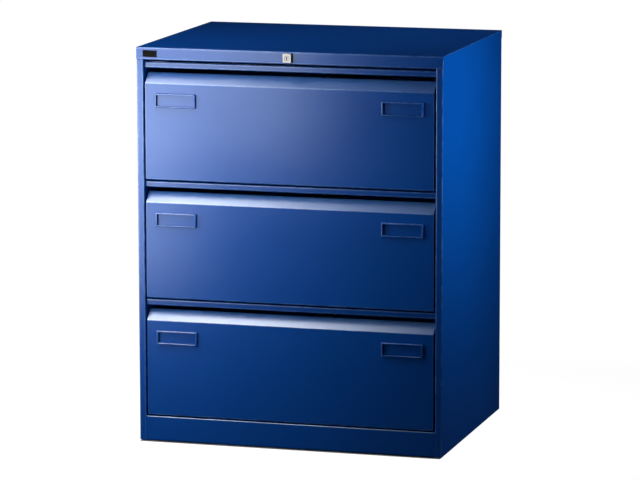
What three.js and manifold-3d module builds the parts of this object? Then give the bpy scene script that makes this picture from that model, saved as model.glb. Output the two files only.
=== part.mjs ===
// Lateral filing cabinet with three full-width drawers, folded from painted sheet steel.
// Millimetres. X runs to the right, Y to the back and Z up.
// The origin lies on the floor under the middle of the cabinet's box.
import * as THREE from "three";
import { mergeVertices } from "three/addons/utils/BufferGeometryUtils.js";
import Module from "manifold-3d";

const wasm = await Module();
wasm.setup();

// Overall size
const WIDTH = 800;
const DEPTH = 622; // from the uprights' front faces to the back panel
const HEIGHT = 1016;

// Sheet metal
const SHEET = 1.2;
const BEND = 1.3; // inside radius of a fold
const GAP = 0.3; // between pieces that touch
const FOLD_STEPS = 3; // facets in one fold
const ROUND_STEPS = 24; // facets round a full circle
const SLOT_STEPS = 3; // pairs of facets in a slot's round end
const CORNER_STEPS = 1; // pairs of facets in a small rounded corner

// Lock, badge and skirt of the top panel
const SKIRT_PROUD = 3; // the skirt stands in front of the uprights
const SKIRT_HEIGHT = 31.4;
const SKIRT_HEM = 15;
const LOCK_SIZE = 24;
const LOCK_PROUD = 8; // the lock stands in front of the skirt
const LOCK_EDGE = 1.6; // chamfer round the lock's face
const BADGE = { width: 37, height: 17, thick: 1, corner: 1.5 };

// The front plane of the uprights and drawers, and the plane of the back
const FRONT = (SKIRT_PROUD + LOCK_PROUD + GAP - DEPTH) / 2;
const REAR = FRONT + DEPTH;

// Carcass
const FOOT_DROP = 2; // the feet lift the carcass off the floor
const UPRIGHT = 18; // width of the front upright on each side panel
const RETURN = 50; // depth of the returns that carry the slides
const OPENING = WIDTH / 2 - UPRIGHT; // half width between the uprights
const SIDE_TOP = HEIGHT - SHEET - 2 * GAP; // clear of the top panel's folds
const TOP_REAR_SKIRT = 22;
const PLINTH_TOP = 65.5;
const PLINTH_SHELF = 30;
const PLINTH_HEM = 15;
const BASE_TOP = PLINTH_TOP - SHEET - GAP;
const BASE_SKIRT = 30;
const BACK_FLANGE = 14;
const FOOT = { pad: 19, padHeight: 4, cone: 9, neck: 8, stem: 5, top: 70 };
const NUT = { radius: 9.5, height: 8, sides: 6 };
const FOOT_X = 355;
const FOOT_INSET = 90; // from the front and back planes

// Drawers, from the lowest
const DRAWERS = ["lower", "middle", "upper"];
const PITCH = 304.8;
const DRAWER_BOTTOM = 69;
const SIDE_CLEARANCE = 4.6;
const FACE_HEIGHT = 246.5;
const FRONT_HALF = OPENING - SIDE_CLEARANCE;
const FRONT_DEPTH = 20;
const LIP = { slope: 25, rise: 25, roll: 12, back: 36, hook: 10 };
const RAIL = { above: 284.5, height: 15, recess: 10, depth: 17 };

// Telescopic slides: half height, flange and lip of each member, from the wall inwards
const SLIDE_THICK = 12.7;
const SLIDE_Z = 110; // above the drawer's bottom edge
const SLIDE_START = 24; // behind the front plane
const OUTER = { half: 23, from: 0, to: 10.5, lip: 4, length: 580 };
const MIDDLE = { half: 18.5, from: 1.7, to: 12, lip: 3.5, length: 574 };
const INNER = { half: 13.5, from: 4.2, to: SLIDE_THICK, length: 561 };

// Drawer tray, inner front and file rail
const TRAY_HALF = OPENING - GAP - SLIDE_THICK - GAP;
const TRAY_LIFT = 6;
const TRAY_TOP = 228;
const TRAY_REAR = FRONT + 585;
const INNER_TOP = 238;
const INNER_FLANGE = 12;
const FILE_RAIL = { width: 16, height: 22 };

// Label holders
const LABEL = { x: 297, z: 203, width: 108, height: 36, proud: 7, corner: 2, edge: 1.8 };
const WINDOW = { width: 99, height: 28 };
const CARD = { width: 103, height: 31, depth: 1.2 };

// Lock gear: the plug's peg pushes a bar sideways, whose slot lifts the lock bar by the same travel
const BEZEL_BASE = FRONT - SKIRT_PROUD - GAP;
const LOCK_Z = HEIGHT - SKIRT_HEIGHT / 2;
const BARREL = { radius: 9.5, rear: 20 };
const PLUG = { radius: 6.3, recess: 0.6, tail: 6, tailEnd: 49.3 };
const KEYWAY = { width: 2, height: 8, depth: 10 };
const CAM = { front: 46, thick: 3, arm: 10, hub: 8, nose: 5 };
const PEG = { radius: 2.5, end: 55 };
const PEG_PLAY = 0.6;
const LOCK_TRAVEL = CAM.arm * Math.SQRT2;
const SLIDE_BAR = { front: 50.6, thick: 2.5, low: 984, high: 1000, right: 20, left: 377 };
const SLIDE_FLAG = { low: 979.7, high: 1004.7, length: 36, taper: 10 };
const PIN = { radius: 2.5, x: 370, z: 985, play: 0.4 };
const LOCK_BAR = { thick: 3, width: 20, front: 54, wall: 3.2, low: 225 };
const FINGER = { tip: 372.5, low: 186, height: 10, pinTip: 362 };
const CATCH = { low: 184, height: 20, gap: 2, gauge: 2, reach: 10, plate: 28 };
const GUIDE = { low: 300, high: 500, lip: 5, play: 0.5 };
const HANGER = { x: 200, width: 20, cheek: 9, flange: 18 };

// Finishes
const BLUE_PAINT = { color: 0x12408f, roughness: 0.42, metalness: 0 };
const ZINC = { color: 0xb5b8b6, roughness: 0.35, metalness: 1 };
const NICKEL = { color: 0xcfcdc4, roughness: 0.25, metalness: 1 };
const BLACK_PLASTIC = { color: 0x15161a, roughness: 0.5, metalness: 0 };

const AXIS_X = new THREE.Vector3(1, 0, 0);
const AXIS_Y = new THREE.Vector3(0, 1, 0);
const AXIS_Z = new THREE.Vector3(0, 0, 1);
const CENTRE = new THREE.Vector2();

// Section of a folded sheet. The path is one face of it, and the gauge lies on the path's left. A third
// number at a corner is that fold's own inner radius.
function foldedSection(path, gauge = SHEET, bend = BEND) {
  const points = path.map(([x, y]) => new THREE.Vector2(x, y));
  const face = [];
  const back = [];
  const place = (point, normal) => {
    face.push(point);
    back.push(point.clone().addScaledVector(normal, gauge));
  };
  points.forEach((point, i) => {
    const before = i > 0 ? point.clone().sub(points[i - 1]).normalize() : null;
    const after = i < points.length - 1 ? points[i + 1].clone().sub(point).normalize() : null;
    const along = before ?? after;
    const left = new THREE.Vector2(-along.y, along.x);
    if (!before || !after) {
      place(point.clone(), left);
      return;
    }
    const side = Math.sign(before.cross(after));
    const angle = Math.acos(before.dot(after));
    const inner = path[i][2] ?? bend;
    const radius = side > 0 ? inner + gauge : inner;
    const centre = point
      .clone()
      .addScaledVector(before, -radius * Math.tan(angle / 2))
      .addScaledVector(left, side * radius);
    for (let step = 0; step <= FOLD_STEPS; step++) {
      const normal = left.clone().rotateAround(CENTRE, (side * angle * step) / FOLD_STEPS);
      place(centre.clone().addScaledVector(normal, -side * radius), normal);
    }
  });
  return new THREE.Shape([...face, ...back.reverse()]);
}

// Outline through a few corners.
function polygon(corners) {
  return new THREE.Shape(corners.map(([x, y]) => new THREE.Vector2(x, y)));
}

// Rectangle round a centre, with rounded corners.
function roundedRectangle(width, height, corner, x = 0, y = 0, Outline = THREE.Shape) {
  const right = width / 2;
  const top = height / 2;
  return new Outline()
    .absarc(x + right - corner, y + top - corner, corner, 0, Math.PI / 2)
    .absarc(x - right + corner, y + top - corner, corner, Math.PI / 2, Math.PI)
    .absarc(x - right + corner, y - top + corner, corner, Math.PI, Math.PI * 1.5)
    .absarc(x + right - corner, y - top + corner, corner, Math.PI * 1.5, Math.PI * 2);
}

// Slot with round ends between two points.
function roundedSlot([x0, y0], [x1, y1], radius, Outline = THREE.Shape) {
  const turn = Math.atan2(y1 - y0, x1 - x0) - Math.PI / 2;
  return new Outline()
    .absarc(x1, y1, radius, turn, turn + Math.PI)
    .absarc(x0, y0, radius, turn + Math.PI, turn + Math.PI * 2);
}

// A closed three.js geometry as a solid that can be joined and cut.
function solid(geometry) {
  geometry.deleteAttribute("normal");
  geometry.deleteAttribute("uv");
  const merged = mergeVertices(geometry);
  const corners = merged.index.array;
  const triangles = [];
  for (let i = 0; i < corners.length; i += 3) {
    const [a, b, c] = corners.subarray(i, i + 3);
    if (a !== b && b !== c && c !== a) triangles.push(a, b, c);
  }
  return new wasm.Manifold(
    new wasm.Mesh({
      numProp: 3,
      vertProperties: merged.attributes.position.array,
      triVerts: Uint32Array.from(triangles),
    }),
  );
}

function extrude(shape, depth, options = {}) {
  return new THREE.ExtrudeGeometry(shape, {
    depth,
    bevelEnabled: false,
    curveSegments: SLOT_STEPS,
    ...options,
  });
}

// Options for a rounded plate with a chamfer of the given size round both of its faces.
function chamfer(size) {
  return {
    bevelEnabled: size > 0,
    bevelSize: size,
    bevelThickness: size,
    bevelSegments: 1,
    curveSegments: CORNER_STEPS,
  };
}

// Shape drawn in Y and Z, carried along X.
function alongX(shape, from, to) {
  const turned = new THREE.Matrix4().makeBasis(AXIS_Y, AXIS_Z, AXIS_X);
  return solid(extrude(shape, to - from).applyMatrix4(turned).translate(from, 0, 0));
}

// Shape drawn in X and Z, carried along Y.
function alongY(shape, from, to, options) {
  const turned = new THREE.Matrix4().makeBasis(AXIS_X, AXIS_Z, AXIS_Y.clone().negate());
  return solid(extrude(shape, to - from, options).applyMatrix4(turned).translate(0, to, 0));
}

// Shape drawn in X and Y, carried along Z.
function alongZ(shape, from, to) {
  return solid(extrude(shape, to - from).translate(0, 0, from));
}

// Box between two corners.
function block([x0, y0, z0], [x1, y1, z1]) {
  const box = new THREE.BoxGeometry(x1 - x0, y1 - y0, z1 - z0);
  return solid(box.translate((x0 + x1) / 2, (y0 + y1) / 2, (z0 + z1) / 2));
}

// Round bar along Y.
function barY(radius, from, to, x, z) {
  const bar = new THREE.CylinderGeometry(radius, radius, to - from, ROUND_STEPS);
  return solid(bar.translate(x, (from + to) / 2, z));
}

// Round or six-sided bar along Z.
function barZ(radius, from, to, x, y, sides = ROUND_STEPS) {
  const bar = new THREE.CylinderGeometry(radius, radius, to - from, sides).rotateX(Math.PI / 2);
  return solid(bar.translate(x, y, (from + to) / 2));
}

// A solid as a named mesh with its own material.
function piece(name, body, finish) {
  const { vertProperties, triVerts } = body.getMesh();
  const geometry = new THREE.BufferGeometry();
  geometry.setAttribute("position", new THREE.BufferAttribute(vertProperties, 3));
  geometry.setIndex(new THREE.BufferAttribute(triVerts, 1));
  geometry.computeVertexNormals();
  const mesh = new THREE.Mesh(geometry, new THREE.MeshStandardMaterial(finish));
  mesh.name = name;
  return mesh;
}

// The same mesh on the other side of the middle plane.
function mirrored(mesh) {
  mesh.scale.x = -1;
  return mesh;
}

// Right side panel: return, front upright, wall, rear flange and return, folded from one sheet.
function sidePanel(name) {
  const rear = REAR - SHEET - GAP;
  const section = foldedSection([
    [OPENING, FRONT + RETURN],
    [OPENING, FRONT],
    [WIDTH / 2, FRONT],
    [WIDTH / 2, rear],
    [OPENING, rear],
    [OPENING, rear - RETURN],
  ]);
  return piece(name, alongZ(section, FOOT_DROP, SIDE_TOP), BLUE_PAINT);
}

// Top panel: front skirt with its hem and closed ends, top sheet and rear skirt, with the lock's hole.
function topPanel() {
  const front = FRONT - SKIRT_PROUD;
  const low = HEIGHT - SKIRT_HEIGHT;
  const section = foldedSection([
    [REAR, HEIGHT - TOP_REAR_SKIRT],
    [REAR, HEIGHT],
    [front, HEIGHT],
    [front, low],
    [FRONT + SKIRT_HEM, low],
  ]);
  const hemEnd = OPENING - GAP;
  const inset = SHEET / 2;
  const end = polygon([
    [FRONT - GAP, low + inset],
    [FRONT - GAP, HEIGHT - inset],
    [front + BEND, HEIGHT - inset],
    [front + inset, HEIGHT - BEND],
    [front + inset, low + BEND],
    [front + BEND, low + inset],
  ]);
  let body = alongX(section, -WIDTH / 2, WIDTH / 2);
  for (const side of [-1, 1]) {
    const outer = (side * WIDTH) / 2;
    const [from, to] = [side * hemEnd, outer].sort((a, b) => a - b);
    body = body.subtract(block([from, FRONT - GAP, low - SHEET], [to, FRONT + RETURN, SIDE_TOP]));
    const plate = side * (WIDTH / 2 - SHEET / 2 - GAP);
    body = body.add(alongX(end, plate - SHEET / 2, plate + SHEET / 2));
  }
  const hole = barY(BARREL.radius + GAP, front - SHEET, FRONT, 0, LOCK_Z);
  return piece("top_panel", body.subtract(hole), BLUE_PAINT);
}

// Back panel, outside the side panels' rear flanges, with a flange folded in at its top and bottom.
function backPanel() {
  const high = HEIGHT - TOP_REAR_SKIRT - GAP;
  const section = foldedSection([
    [REAR - BACK_FLANGE, FOOT_DROP],
    [REAR, FOOT_DROP],
    [REAR, high],
    [REAR - BACK_FLANGE, high],
  ]);
  const half = WIDTH / 2 - SHEET;
  let body = alongX(section, -half, half);
  for (const side of [-1, 1]) {
    const [from, to] = [side * (OPENING - GAP), side * half].sort((a, b) => a - b);
    const corner = block([from, REAR - RETURN, 0], [to, REAR - SHEET, HEIGHT]);
    body = body.subtract(corner);
  }
  return piece("back_panel", body, BLUE_PAINT);
}

// Base panel with its edges folded down the side walls, notched for the returns and drilled for the feet.
function basePanel() {
  const half = WIDTH / 2 - SHEET - GAP;
  const section = foldedSection([
    [half, BASE_TOP - BASE_SKIRT],
    [half, BASE_TOP],
    [-half, BASE_TOP],
    [-half, BASE_TOP - BASE_SKIRT],
  ]);
  const front = FRONT + SHEET + BEND + GAP;
  const rear = REAR - BACK_FLANGE - GAP;
  let body = alongY(section, front, rear);
  for (const side of [-1, 1]) {
    const [from, to] = [side * (OPENING - GAP), side * WIDTH / 2].sort((a, b) => a - b);
    body = body.subtract(block([from, FRONT, 0], [to, FRONT + RETURN + GAP, PLINTH_TOP]));
    body = body.subtract(block([from, REAR - SHEET - RETURN - 2 * GAP, 0], [to, REAR, PLINTH_TOP]));
    for (const y of footRows()) {
      body = body.subtract(barZ(FOOT.stem + GAP, 0, PLINTH_TOP, side * FOOT_X, y));
    }
  }
  return piece("base_panel", body, BLUE_PAINT);
}

// Plinth between the uprights, with a shelf over the base panel and a hem at the floor.
function plinth() {
  const section = foldedSection([
    [FRONT + PLINTH_SHELF, PLINTH_TOP],
    [FRONT, PLINTH_TOP],
    [FRONT, FOOT_DROP],
    [FRONT + PLINTH_HEM, FOOT_DROP],
  ]);
  const half = OPENING - GAP;
  return piece("plinth", alongX(section, -half, half), BLUE_PAINT);
}

// Recessed rail across the opening above one drawer.
function crossRail(name, level) {
  const front = FRONT + RAIL.recess;
  const low = DRAWER_BOTTOM + level * PITCH + RAIL.above;
  const section = foldedSection([
    [front + RAIL.depth, low + RAIL.height],
    [front, low + RAIL.height],
    [front, low],
    [front + RAIL.depth, low],
  ]);
  const half = OPENING - GAP;
  return piece(name, alongX(section, -half, half), BLUE_PAINT);
}

function footRows() {
  return [FRONT + FOOT_INSET, REAR - FOOT_INSET];
}

// Levelling foot: a pad on a screw stem, with the nut that carries the base panel.
function foot(name, x, y) {
  const profile = [
    [0, 0],
    [FOOT.pad, 0],
    [FOOT.pad, FOOT.padHeight],
    [FOOT.neck, FOOT.cone],
    [FOOT.stem, FOOT.cone],
    [FOOT.stem, FOOT.top],
    [0, FOOT.top],
  ].map(([radius, height]) => new THREE.Vector2(radius, height));
  const turned = new THREE.LatheGeometry(profile, ROUND_STEPS).rotateX(Math.PI / 2);
  const nutTop = BASE_TOP - SHEET - GAP;
  const nut = barZ(NUT.radius, nutTop - NUT.height, nutTop, x, y, NUT.sides);
  return piece(name, solid(turned.translate(x, y, 0)).add(nut), ZINC);
}

// Section of one slide member on the right side, in X and Z. The outer face of the slide is at OPENING.
function channel({ half, from, to, lip }, z) {
  const wall = OPENING - GAP - from;
  const open = OPENING - GAP - to;
  return foldedSection([
    [open, z - half + lip],
    [open, z - half],
    [wall, z - half],
    [wall, z + half],
    [open, z + half],
    [open, z + half - lip],
  ]);
}

// Inner member, whose web is on the drawer and whose flanges reach into the middle member.
function innerChannel(z) {
  const web = OPENING - GAP - INNER.to;
  const edge = OPENING - GAP - INNER.from;
  return foldedSection([
    [edge, z + INNER.half],
    [web, z + INNER.half],
    [web, z - INNER.half],
    [edge, z - INNER.half],
  ]);
}

function slideMember(name, section, length) {
  const start = FRONT + SLIDE_START;
  return piece(name, alongY(section, start, start + length), ZINC);
}

// Drawer front: bottom hem, flat face, slanted finger lip that rolls over to a hook, and closed ends.
function drawerFront(name) {
  const top = DRAWER_BOTTOM + FACE_HEIGHT;
  const lipTop = top + LIP.rise;
  const section = foldedSection([
    [FRONT + LIP.back, lipTop - LIP.hook],
    [FRONT + LIP.back, lipTop],
    [FRONT + LIP.slope, lipTop, LIP.roll],
    [FRONT, top],
    [FRONT, DRAWER_BOTTOM],
    [FRONT + FRONT_DEPTH, DRAWER_BOTTOM],
  ]);
  const inset = SHEET / 2;
  const rear = FRONT + FRONT_DEPTH - GAP;
  const steep = LIP.rise / LIP.slope;
  const lap = inset * Math.hypot(1, steep);
  const cheek = polygon([
    [FRONT + inset, DRAWER_BOTTOM + BEND],
    [FRONT + BEND, DRAWER_BOTTOM + inset],
    [rear, DRAWER_BOTTOM + inset],
    [rear, top + steep * (rear - FRONT) - lap],
    [FRONT + BEND, top + steep * BEND - lap],
    [FRONT + inset, top - BEND],
  ]);
  const weld = FRONT_HALF - GAP;
  const body = alongX(section, -FRONT_HALF, FRONT_HALF)
    .add(alongX(cheek, -weld, SHEET - weld))
    .add(alongX(cheek, weld - SHEET, weld));
  return piece(name, body, BLUE_PAINT);
}

// Inner skin that closes the drawer front from behind.
function innerFront(name) {
  const rear = FRONT + FRONT_DEPTH - GAP;
  const low = DRAWER_BOTTOM + SHEET + GAP;
  const high = DRAWER_BOTTOM + INNER_TOP;
  const section = foldedSection([
    [rear - INNER_FLANGE, low],
    [rear, low],
    [rear, high],
    [rear - INNER_FLANGE, high],
  ]);
  const half = FRONT_HALF - SHEET - 2 * GAP;
  return piece(name, alongX(section, -half, half), BLUE_PAINT);
}

// Drawer tray: base and sides folded from one sheet, with a welded back.
function tray(name) {
  const low = DRAWER_BOTTOM + TRAY_LIFT;
  const high = DRAWER_BOTTOM + TRAY_TOP;
  const section = foldedSection([
    [-TRAY_HALF, high],
    [-TRAY_HALF, low],
    [TRAY_HALF, low],
    [TRAY_HALF, high],
  ]);
  const back = block(
    [BEND - TRAY_HALF, TRAY_REAR - SHEET, low + SHEET / 2],
    [TRAY_HALF - BEND, TRAY_REAR, high],
  );
  const body = alongY(section, FRONT + FRONT_DEPTH, TRAY_REAR).add(back);
  return piece(name, body, BLUE_PAINT);
}

// Channel down the middle of the drawer that carries the inner ends of both rows of hanging files.
function fileRail(name) {
  const half = FILE_RAIL.width / 2;
  const high = DRAWER_BOTTOM + TRAY_TOP;
  const section = foldedSection([
    [-half, high],
    [-half, high - FILE_RAIL.height],
    [half, high - FILE_RAIL.height],
    [half, high],
  ]);
  const body = alongY(section, FRONT + FRONT_DEPTH, TRAY_REAR - SHEET - GAP);
  return piece(name, body, ZINC);
}

// Frame for an index card: a bevelled bezel with a window and a recess for the card behind it.
function labelHolder(name) {
  const z = DRAWER_BOTTOM + LABEL.z;
  const { width, height, corner, edge, x } = LABEL;
  const [sightWidth, sightHeight] = [WINDOW.width + 2 * edge, WINDOW.height + 2 * edge];
  const shape = roundedRectangle(width - 2 * edge, height - 2 * edge, corner, x, z);
  shape.holes.push(roundedRectangle(sightWidth, sightHeight, corner, x, z, THREE.Path));
  const rear = FRONT - GAP;
  const front = rear - LABEL.proud;
  const bezel = alongY(shape, front + edge, rear + edge, chamfer(edge));
  const wall = block([x - width, rear, z - height], [x + width, rear + LABEL.proud, z + height]);
  const card = block(
    [x - CARD.width / 2, rear - CARD.depth, z - CARD.height / 2],
    [x + CARD.width / 2, rear + edge, z + CARD.height / 2],
  );
  return piece(name, bezel.subtract(wall).subtract(card), BLUE_PAINT);
}

// Lug on the tray's left side that the lock bar's finger holds.
function lockCatch(name) {
  const face = -TRAY_HALF - GAP;
  const y = FRONT + LOCK_BAR.front + LOCK_BAR.thick + CATCH.gap;
  const section = foldedSection([
    [face - CATCH.reach, y],
    [face, y],
    [face, y + CATCH.plate],
  ], CATCH.gauge);
  const low = DRAWER_BOTTOM + CATCH.low;
  return piece(name, alongZ(section, low, low + CATCH.height), ZINC);
}

// Square lock body with a chamfered face, and the barrel that goes through the skirt.
function lockHousing() {
  const face = BEZEL_BASE - LOCK_PROUD;
  const side = LOCK_SIZE - 2 * LOCK_EDGE;
  const square = roundedRectangle(side, side, LOCK_EDGE, 0, LOCK_Z);
  const behind = block(
    [-LOCK_SIZE, BEZEL_BASE, LOCK_Z - LOCK_SIZE],
    [LOCK_SIZE, BEZEL_BASE + LOCK_SIZE, LOCK_Z + LOCK_SIZE],
  );
  const body = alongY(square, face + LOCK_EDGE, BEZEL_BASE + LOCK_EDGE, chamfer(LOCK_EDGE))
    .subtract(behind)
    .add(barY(BARREL.radius, face + LOCK_PROUD / 2, FRONT + BARREL.rear, 0, LOCK_Z))
    .subtract(barY(PLUG.radius + GAP, face - LOCK_PROUD, FRONT + BARREL.rear + GAP, 0, LOCK_Z));
  return piece("lock_housing", body, NICKEL);
}

// Plug with its keyway and the square tail that turns the cam.
function lockPlug() {
  const face = BEZEL_BASE - LOCK_PROUD + PLUG.recess;
  const rear = FRONT + BARREL.rear;
  const tail = PLUG.tail / 2;
  const keyway = block(
    [-KEYWAY.width / 2, face - KEYWAY.depth, LOCK_Z - KEYWAY.height / 2],
    [KEYWAY.width / 2, face + KEYWAY.depth, LOCK_Z + KEYWAY.height / 2],
  );
  const body = barY(PLUG.radius, face, rear, 0, LOCK_Z)
    .add(block([-tail, rear - tail, LOCK_Z - tail], [tail, FRONT + PLUG.tailEnd, LOCK_Z + tail]))
    .subtract(keyway);
  return piece("lock_plug", body, NICKEL);
}

// The peg's place on the cam when the drawers are free: down and to the right.
function pegPlace() {
  const reach = CAM.arm * Math.SQRT1_2;
  return [reach, LOCK_Z - reach];
}

// Cam on the plug's tail: a tapering arm with a peg.
function lockCam() {
  const [x, z] = pegPlace();
  const front = FRONT + CAM.front;
  const rear = front + CAM.thick;
  const hole = PLUG.tail / 2 + GAP;
  const body = barY(CAM.hub, front, rear, 0, LOCK_Z)
    .add(alongY(roundedSlot([0, LOCK_Z], [x, z], CAM.nose), front, rear))
    .subtract(block([-hole, front - GAP, LOCK_Z - hole], [hole, rear + GAP, LOCK_Z + hole]))
    .add(barY(PEG.radius, front, FRONT + PEG.end, x, z));
  return piece("lock_cam", body, ZINC);
}

// Bar that the peg pushes to the left; the sloping slot at its left end lifts the lock bar's pin.
function transferBar() {
  const { low, high, right, left } = SLIDE_BAR;
  const flag = SLIDE_FLAG.length - left;
  const outline = polygon([
    [-left, SLIDE_FLAG.low],
    [flag, SLIDE_FLAG.low],
    [flag + SLIDE_FLAG.taper, low],
    [right, low],
    [right, high],
    [flag + SLIDE_FLAG.taper, high],
    [flag, SLIDE_FLAG.high],
    [-left, SLIDE_FLAG.high],
  ]);
  const [pegX, pegZ] = pegPlace();
  const lowest = LOCK_Z - CAM.arm;
  outline.holes.push(
    roundedSlot([pegX, lowest], [pegX, pegZ], PEG.radius + PEG_PLAY, THREE.Path),
    roundedSlot(
      [-PIN.x, PIN.z],
      [LOCK_TRAVEL - PIN.x, PIN.z + LOCK_TRAVEL],
      PIN.radius + PIN.play,
      THREE.Path,
    ),
  );
  const front = FRONT + SLIDE_BAR.front;
  return piece("transfer_bar", alongY(outline, front, front + SLIDE_BAR.thick), ZINC);
}

// Strip up the left wall with a finger for each drawer and one that carries the pin.
function lockBar() {
  const wall = LOCK_BAR.wall - WIDTH / 2;
  const front = FRONT + LOCK_BAR.front;
  const high = PIN.z + FINGER.height / 2;
  const strip = block(
    [wall, front + LOCK_BAR.thick, LOCK_BAR.low],
    [wall + LOCK_BAR.thick, front + LOCK_BAR.width, high],
  );
  const finger = (tip, low) => {
    const section = foldedSection([
      [wall, front + LOCK_BAR.width],
      [wall, front],
      [-tip, front],
    ], LOCK_BAR.thick);
    return alongZ(section, low, low + FINGER.height);
  };
  let body = strip.add(finger(FINGER.pinTip, high - FINGER.height));
  DRAWERS.forEach((_, level) => {
    const held = DRAWER_BOTTOM + level * PITCH + FINGER.low;
    body = body.add(finger(FINGER.tip, held - LOCK_TRAVEL));
  });
  const pin = barY(PIN.radius, FRONT + SLIDE_BAR.front - GAP, front + LOCK_BAR.thick / 2, -PIN.x, PIN.z);
  return piece("lock_bar", body.add(pin), ZINC);
}

// Guide on the left wall that the lock bar slides in.
function lockBarGuide() {
  const wall = SHEET + GAP - WIDTH / 2;
  const inner = LOCK_BAR.wall + LOCK_BAR.thick + GUIDE.play + SHEET - WIDTH / 2;
  const front = FRONT + LOCK_BAR.front - GUIDE.play - SHEET;
  const rear = FRONT + LOCK_BAR.front + LOCK_BAR.width + GUIDE.play + SHEET;
  const section = foldedSection([
    [inner, front + GUIDE.lip],
    [inner, front],
    [wall, front],
    [wall, rear],
    [inner, rear],
    [inner, rear - GUIDE.lip],
  ].reverse(), SHEET, GUIDE.play);
  return piece("lock_bar_guide", alongZ(section, GUIDE.low, GUIDE.high), ZINC);
}

// Hook under the top panel that the transfer bar slides in.
function transferBarHanger() {
  const top = SIDE_TOP - SHEET;
  const floor = SLIDE_BAR.low - GAP - SHEET;
  const rear = FRONT + SLIDE_BAR.front + SLIDE_BAR.thick + GAP + SHEET;
  const front = FRONT + SLIDE_BAR.front - GAP - SHEET;
  const section = foldedSection([
    [rear + HANGER.flange, top],
    [rear, top],
    [rear, floor],
    [front, floor],
    [front, floor + HANGER.cheek],
  ].reverse(), SHEET, GAP);
  const left = -HANGER.x - HANGER.width / 2;
  return piece("transfer_bar_hanger", alongX(section, left, left + HANGER.width), ZINC);
}

// Bare plate on the skirt, in line with the edge of the opening.
function badgePlate() {
  const { width, height, thick, corner } = BADGE;
  const rear = FRONT - SKIRT_PROUD - GAP;
  const shape = roundedRectangle(width, height, corner, width / 2 - OPENING, LOCK_Z);
  return piece("badge_plate", alongY(shape, rear - thick, rear, chamfer(0)), BLACK_PLASTIC);
}

function carcass() {
  const group = new THREE.Group();
  group.add(mirrored(sidePanel("left_side_panel")), sidePanel("right_side_panel"));
  group.add(topPanel(), backPanel(), basePanel(), plinth());
  group.add(badgePlate(), lockHousing(), lockBarGuide(), transferBarHanger());
  const [frontRow, rearRow] = footRows();
  group.add(foot("foot_front_left", -FOOT_X, frontRow), foot("foot_front_right", FOOT_X, frontRow));
  group.add(foot("foot_rear_left", -FOOT_X, rearRow), foot("foot_rear_right", FOOT_X, rearRow));
  DRAWERS.forEach((level, i) => {
    const outer = channel(OUTER, DRAWER_BOTTOM + i * PITCH + SLIDE_Z);
    group.add(crossRail(`cross_rail_${level}`, i));
    group.add(mirrored(slideMember(`outer_slide_${level}_left`, outer, OUTER.length)));
    group.add(slideMember(`outer_slide_${level}_right`, outer, OUTER.length));
  });
  return group;
}

function lockGear() {
  const group = new THREE.Group();
  group.add(lockPlug(), lockCam(), transferBar(), lockBar());
  return group;
}

// One drawer with the slide members that move with it, lifted to its level.
function drawer(level, i) {
  const group = new THREE.Group();
  const z = DRAWER_BOTTOM + SLIDE_Z;
  const middle = channel(MIDDLE, z);
  const inner = innerChannel(z);
  group.position.z = i * PITCH;
  group.add(drawerFront(`drawer_front_${level}`), innerFront(`inner_front_${level}`));
  group.add(tray(`drawer_tray_${level}`), fileRail(`file_rail_${level}`));
  group.add(lockCatch(`lock_catch_${level}`));
  group.add(mirrored(labelHolder(`label_holder_${level}_left`)));
  group.add(labelHolder(`label_holder_${level}_right`));
  group.add(mirrored(slideMember(`inner_slide_${level}_left`, inner, INNER.length)));
  group.add(slideMember(`inner_slide_${level}_right`, inner, INNER.length));
  group.add(mirrored(slideMember(`middle_slide_${level}_left`, middle, MIDDLE.length)));
  group.add(slideMember(`middle_slide_${level}_right`, middle, MIDDLE.length));
  return group;
}

const cabinet = new THREE.Group();
cabinet.add(carcass(), lockGear(), ...DRAWERS.map(drawer));

export default cabinet;
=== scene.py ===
"""Looks of a three-drawer lateral filing cabinet in blue satin paint.

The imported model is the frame. Folded sheets, label holders, the lock, the bare plate, the slides' balls
and the trays' rivets are worked out here as numpy grids. The other nodes keep their solids and get
finishes. Lengths are in metres.
"""

import logging
import math
from collections.abc import Sequence
from dataclasses import dataclass, field
from enum import Enum
from functools import cache

import bmesh
import bpy
import numpy as np
from mathutils import Matrix, Vector


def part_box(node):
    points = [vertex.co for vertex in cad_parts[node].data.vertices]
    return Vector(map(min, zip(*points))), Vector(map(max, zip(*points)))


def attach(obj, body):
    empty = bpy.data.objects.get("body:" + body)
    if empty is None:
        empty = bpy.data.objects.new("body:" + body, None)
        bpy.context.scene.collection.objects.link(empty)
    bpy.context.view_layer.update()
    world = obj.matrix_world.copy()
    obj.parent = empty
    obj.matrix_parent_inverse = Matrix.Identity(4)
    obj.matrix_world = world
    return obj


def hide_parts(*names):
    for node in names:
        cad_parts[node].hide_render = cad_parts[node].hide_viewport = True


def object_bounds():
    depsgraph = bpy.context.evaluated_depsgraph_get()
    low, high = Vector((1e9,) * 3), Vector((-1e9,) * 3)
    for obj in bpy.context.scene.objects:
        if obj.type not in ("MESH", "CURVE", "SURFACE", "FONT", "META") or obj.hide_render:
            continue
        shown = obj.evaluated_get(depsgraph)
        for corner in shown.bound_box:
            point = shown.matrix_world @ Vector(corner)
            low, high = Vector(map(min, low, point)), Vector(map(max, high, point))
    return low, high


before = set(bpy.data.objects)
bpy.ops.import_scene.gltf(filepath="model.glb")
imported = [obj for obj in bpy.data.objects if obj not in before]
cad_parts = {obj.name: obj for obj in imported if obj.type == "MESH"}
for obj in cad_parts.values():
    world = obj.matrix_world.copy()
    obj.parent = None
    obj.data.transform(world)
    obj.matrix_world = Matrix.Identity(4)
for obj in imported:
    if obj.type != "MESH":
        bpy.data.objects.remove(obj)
CAD_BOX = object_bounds()

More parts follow.
